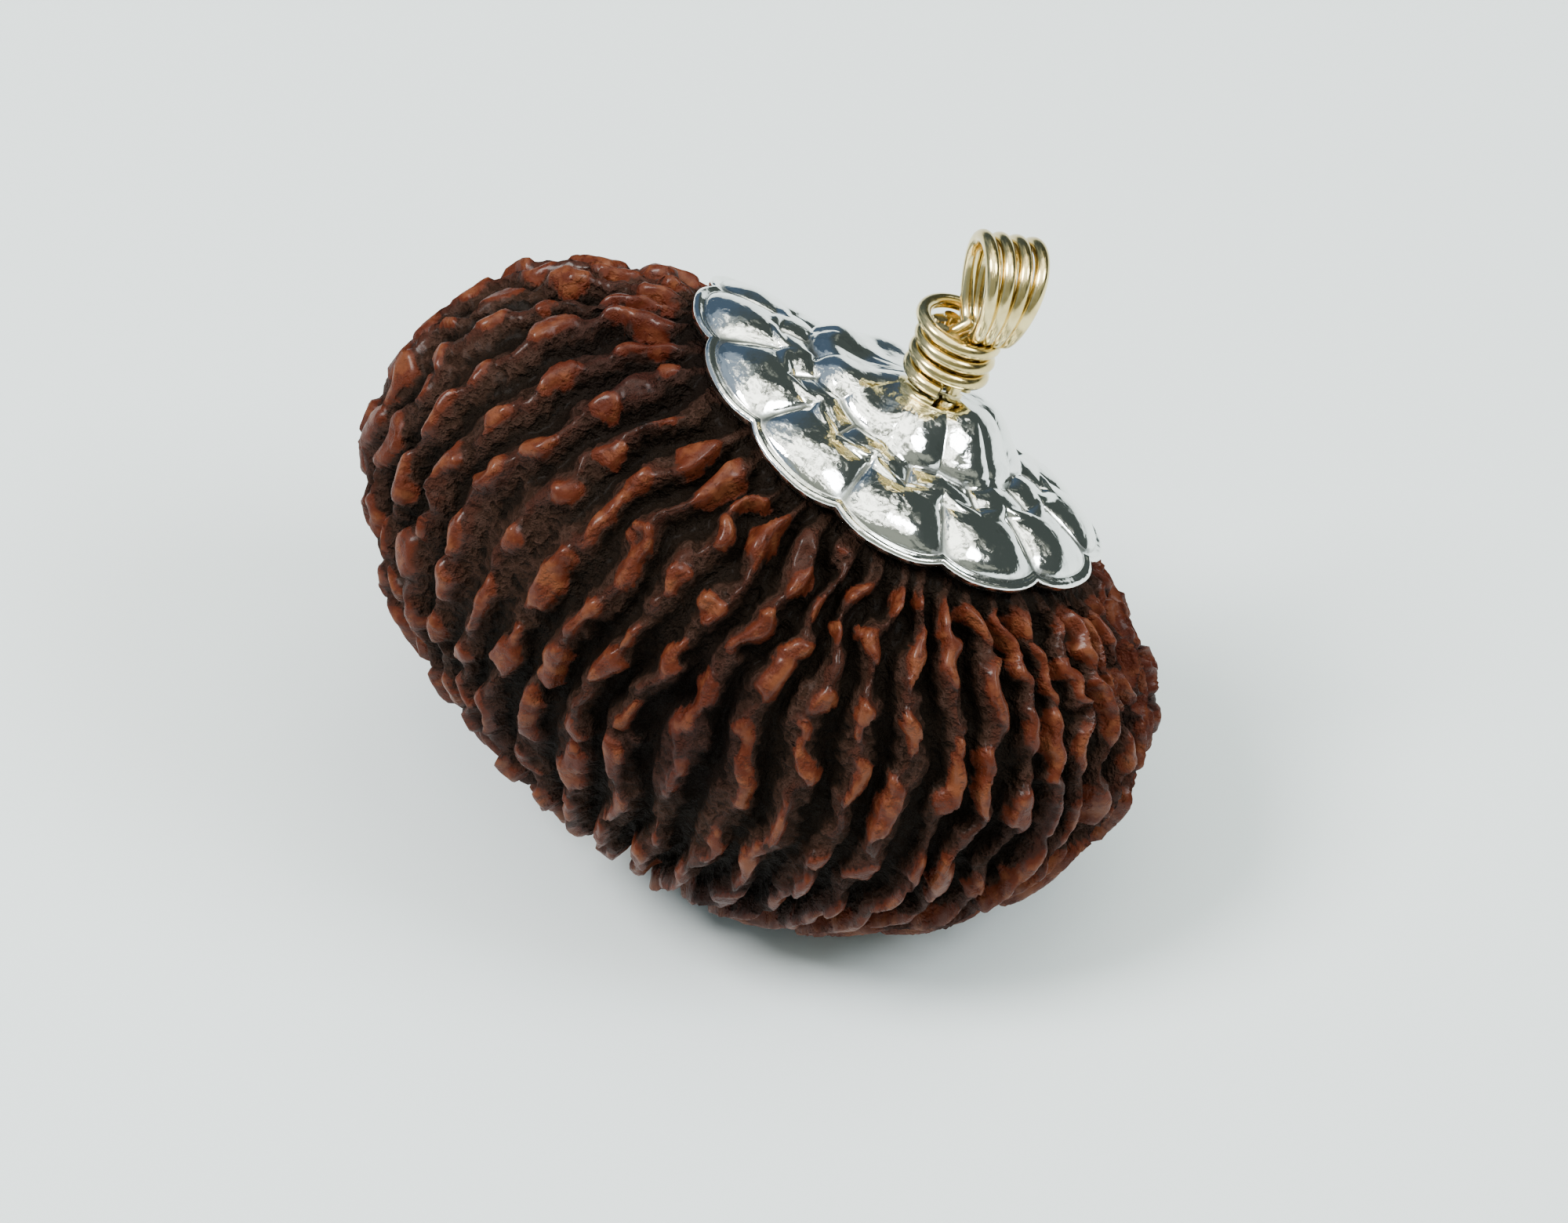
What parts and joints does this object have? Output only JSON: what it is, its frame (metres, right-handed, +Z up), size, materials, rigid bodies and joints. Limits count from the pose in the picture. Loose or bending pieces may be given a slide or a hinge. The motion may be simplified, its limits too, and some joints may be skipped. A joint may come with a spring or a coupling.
{
  "type": "capped rudraksha bead pendant",
  "caption": "Ribbed, knobbly seed bead pendant with a petalled silver cap and a wrapped wire bail, lying at a lean on a small worn flat.",
  "frame": {"origin": "on the resting plane, under the middle of the pendant's overall box", "axes": "+Z up from the surface it lies on, +X the way the bead's long axis dips, +Y the way the cap leans back"},
  "size_m": [0.0366, 0.0234, 0.0304],
  "materials": {
    "seed_shell": "oiled seed shell",
    "silver": "hammered and polished silver",
    "gold_wire": "polished pale gold wire"
  },
  "bodies": {
    "root": {"rudraksha_bead": "seed_shell", "silver_cap": "silver", "bail_wire": "gold_wire"}
  },
  "joints": []
}
